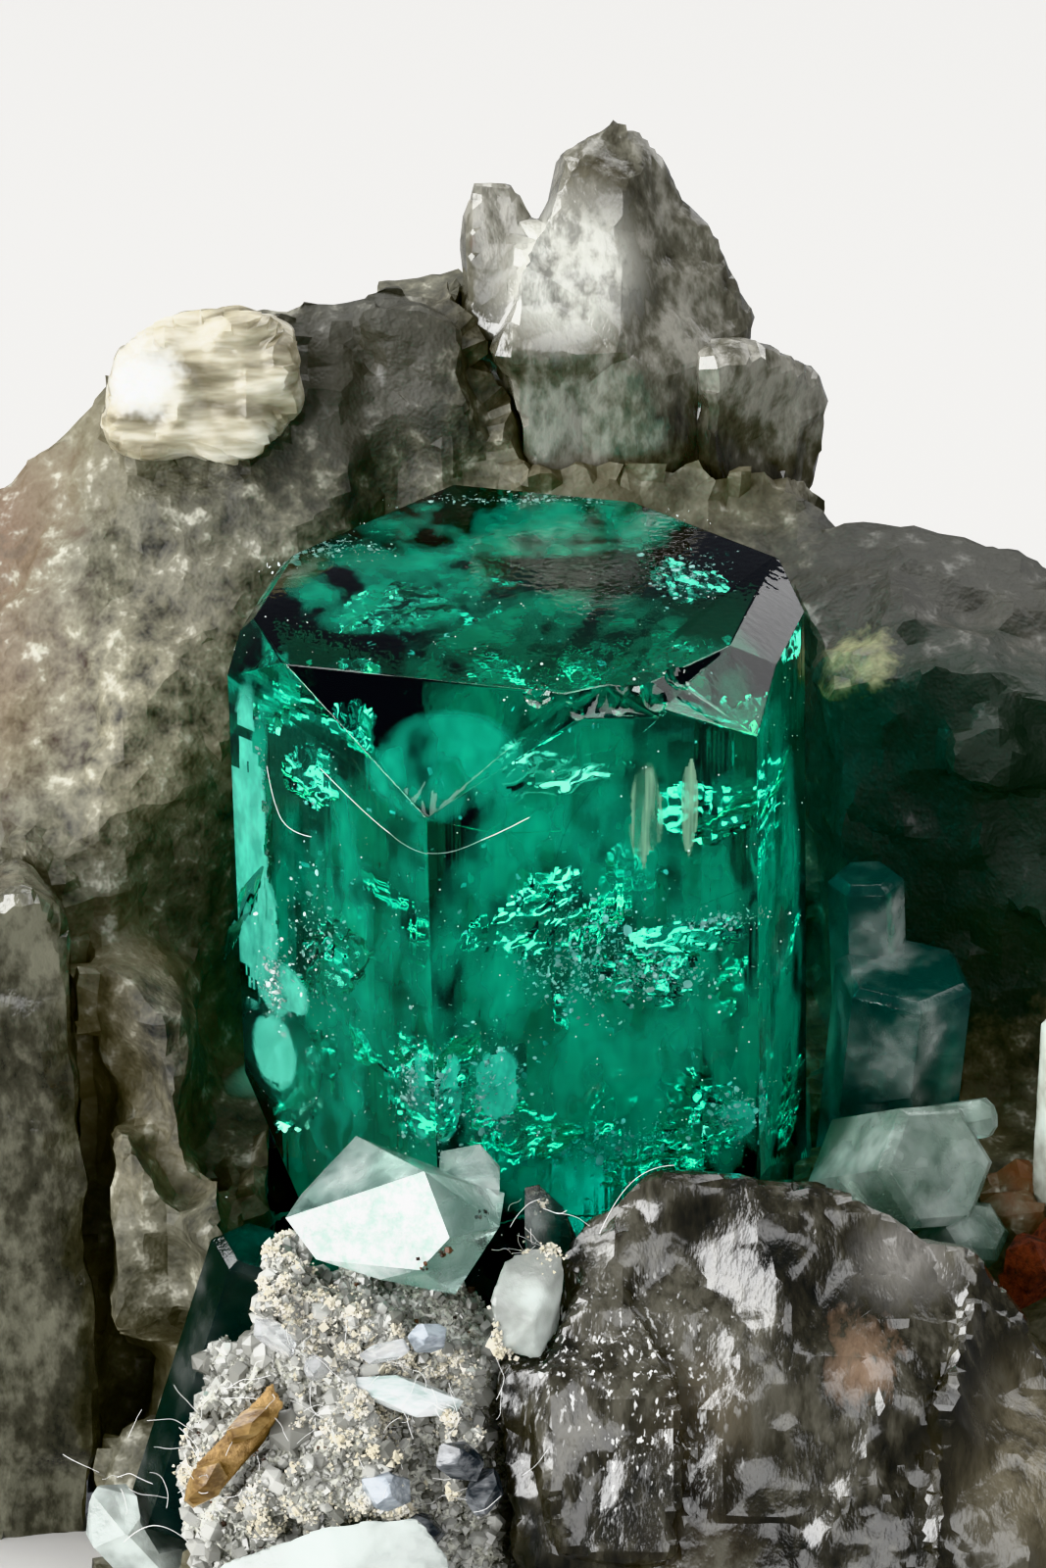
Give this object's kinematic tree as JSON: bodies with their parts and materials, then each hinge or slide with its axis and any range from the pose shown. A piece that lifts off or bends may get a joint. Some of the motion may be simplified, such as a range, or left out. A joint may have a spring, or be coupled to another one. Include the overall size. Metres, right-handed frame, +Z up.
{
  "type": "emerald in matrix",
  "caption": "Mineral specimen: a stout green emerald crystal standing in brown grey quartz rock with a sugary crust and pale beryls, sawn flat below.",
  "frame": {"origin": "middle of the specimen's box, on the flat sawn base", "axes": "+Z up along the emerald, +Y away from the front, +X to the right and along the longest side"},
  "size_m": [0.0312, 0.0286, 0.0281],
  "materials": {
    "emerald": "glossy, clear to flawed",
    "pale_beryl": "glossy with a rough face",
    "green_beryl": "glossy",
    "smoky_quartz": "glassy, broken",
    "clear_quartz": "glassy",
    "milky_quartz": "satin",
    "sugary_quartz": "sparkling, grainy",
    "calcite": "satin",
    "ochre": "dull",
    "iron_rust": "dull",
    "brown_rock": "rough, stained"
  },
  "bodies": {
    "root": {"matrix": "brown_rock", "emerald_crystal": "emerald", "smoky_quartz_front": "smoky_quartz", "smoky_quartz_left": "smoky_quartz", "quartz_peak": "smoky_quartz", "calcite_band_back": "calcite", "quartz_crust": "sugary_quartz", "pale_beryl_front": "pale_beryl", "clear_quartz_front": "clear_quartz", "white_quartz_front": "milky_quartz", "pale_quartz_front_low": "milky_quartz", "pale_beryl_right": "pale_beryl", "green_beryl_right": "green_beryl", "small_emerald_left": "emerald", "pale_crystal_left_low": "milky_quartz", "pale_crystal_right_edge": "pale_beryl", "ochre_flake": "ochre", "rust_patch": "iron_rust"}
  },
  "joints": []
}
